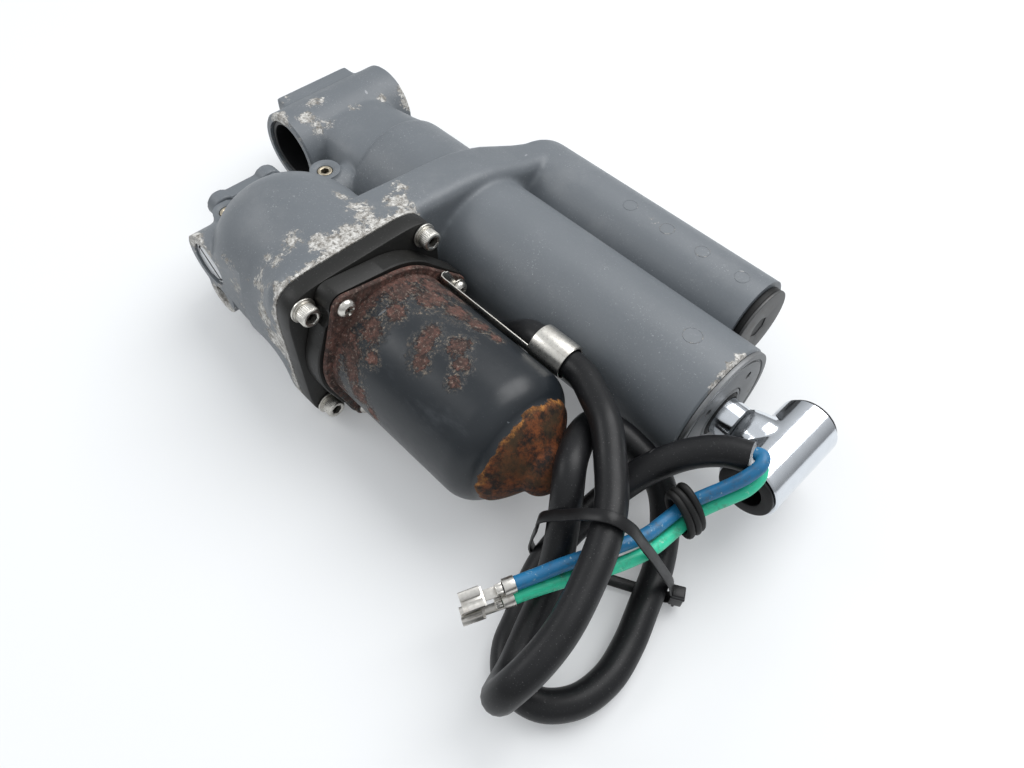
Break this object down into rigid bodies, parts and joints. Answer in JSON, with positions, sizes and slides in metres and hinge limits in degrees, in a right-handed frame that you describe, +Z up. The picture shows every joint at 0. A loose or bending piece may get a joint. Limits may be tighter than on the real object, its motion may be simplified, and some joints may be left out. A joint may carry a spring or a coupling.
{
  "type": "power trim and tilt unit",
  "caption": "Hydraulic cylinder, oil reservoir and electric gear pump in one casting, with a chrome rod and eye ends, that tilts an outboard motor.",
  "frame": {"origin": "bottom centre of the unit's box, without the free cable, on the plane it rests on", "axes": "+X along the cylinder from the lower eye to the rod eye, +Z up from the resting plane, -Y towards the motor"},
  "size_m": [0.373, 0.2525, 0.0879],
  "materials": {
    "grey_paint": "satin grey marine paint, chipped at the edges",
    "black_paint": "semi-gloss black paint with rust islands",
    "black_plastic": "satin black, worn",
    "rubber": "dull black rubber",
    "steel": "machined steel",
    "stainless": "stainless steel",
    "chrome": "hard chrome plate",
    "aluminium": "machined aluminium, dull",
    "brass": "dull brass",
    "bronze": "sintered bronze",
    "copper": "enamelled copper",
    "carbon": "matt carbon",
    "ferrite": "matt ferrite",
    "blue_plastic": "blue wire insulation",
    "green_plastic": "green wire insulation"
  },
  "bodies": {
    "casting": {"main_housing": "grey_paint", "rear_cover": "grey_paint", "lower_bushing_near": "black_plastic", "lower_bushing_far": "black_plastic", "release_valve_ring": "steel", "gallery_plug_1": "brass", "gallery_plug_2": "brass", "reservoir_plug": "black_plastic", "reservoir_seal": "rubber", "end_cap": "aluminium", "end_cap_seal": "rubber", "rod_wiper": "rubber", "rod_seal": "rubber", "pump_housing": "aluminium", "pump_cover": "steel", "relief_ball": "steel", "relief_spring": "steel", "adapter_plate": "black_plastic", "cap_screw_1": "stainless", "cap_screw_2": "stainless", "cap_screw_3": "stainless", "cap_screw_4": "stainless", "motor_end_head": "black_plastic", "motor_can": "black_paint", "ear_screw_1": "stainless", "ear_screw_2": "stainless", "ear_screw_3": "stainless", "brush_holder": "black_plastic", "brush_upper": "carbon", "brush_lower": "carbon", "magnet_left": "ferrite", "magnet_right": "ferrite", "shaft_seal": "rubber", "front_bearing": "bronze", "rear_bearing": "bronze", "cable_clip": "stainless", "cable_grommet": "rubber", "cable_sheath": "rubber", "blue_wire": "blue_plastic", "green_wire": "green_plastic", "blue_terminal": "stainless", "green_terminal": "stainless", "cable_tie": "black_plastic", "rubber_ring": "rubber"},
    "rod": {"piston_rod": "chrome", "rod_bushing_near": "black_plastic", "rod_bushing_far": "black_plastic", "piston": "aluminium", "piston_seal": "rubber", "piston_nut": "steel"},
    "free_piston": {"free_piston": "aluminium"},
    "rotor": {"motor_shaft": "steel", "drive_coupling": "steel", "armature_core": "steel", "front_winding": "copper", "rear_winding": "copper", "commutator": "copper", "drive_gear": "steel"},
    "driven_gear": {"driven_gear": "steel"},
    "release_valve": {"release_valve": "steel"}
  },
  "joints": [
    {"name": "rod_slide", "type": "slide", "parent": "casting", "child": "rod", "axis": [1, 0, 0], "range_m": [0, 0.15]},
    {"name": "free_piston_slide", "type": "slide", "parent": "casting", "child": "free_piston", "axis": [1, 0, 0], "range_m": [0, 0.002]},
    {"name": "rotor_spin", "type": "hinge", "parent": "casting", "child": "rotor", "pos_m": [0, -0.06195, 0.044], "axis": [1, 0, 0], "continuous": true},
    {"name": "driven_gear_spin", "type": "hinge", "parent": "casting", "child": "driven_gear", "pos_m": [-0.0595, -0.06195, 0.022], "axis": [1, 0, 0], "continuous": true},
    {"name": "release_valve_turn", "type": "hinge", "parent": "casting", "child": "release_valve", "pos_m": [-0.1025, -0.09995, 0.043], "axis": [0, 1, 0], "range_deg": [0, 270]}
  ],
  "couplings": [
    {"joint": "driven_gear_spin", "follows": "rotor_spin", "ratio": -1}
  ]
}
